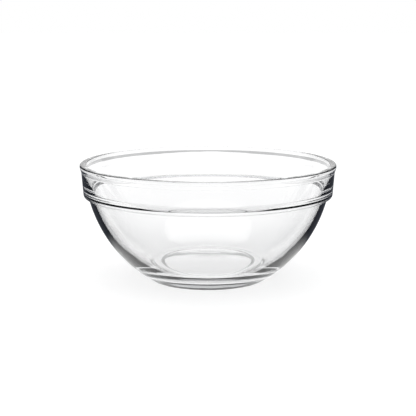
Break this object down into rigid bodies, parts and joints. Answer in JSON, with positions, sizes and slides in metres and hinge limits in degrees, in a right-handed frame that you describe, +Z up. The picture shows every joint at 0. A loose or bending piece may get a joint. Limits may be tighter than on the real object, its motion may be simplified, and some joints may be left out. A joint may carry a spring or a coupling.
{
  "type": "glass bowl",
  "caption": "Clear pressed-glass bowl with a thick straight rim band, a stacking shoulder below it, a round tapering body and a low ring foot, for serving or preparing food",
  "frame": {"origin": "on the table, under the middle of the foot ring", "axes": "+Z up along the bowl's axis; the bowl is a solid of revolution, so +X and +Y are any two directions square to it"},
  "size_m": [0.142, 0.142, 0.065],
  "materials": {
    "clear_glass": "clear colourless soda-lime glass, pressed and fire-polished smooth, with rounded edges"
  },
  "bodies": {
    "root": {"bowl": "clear_glass"}
  },
  "joints": []
}
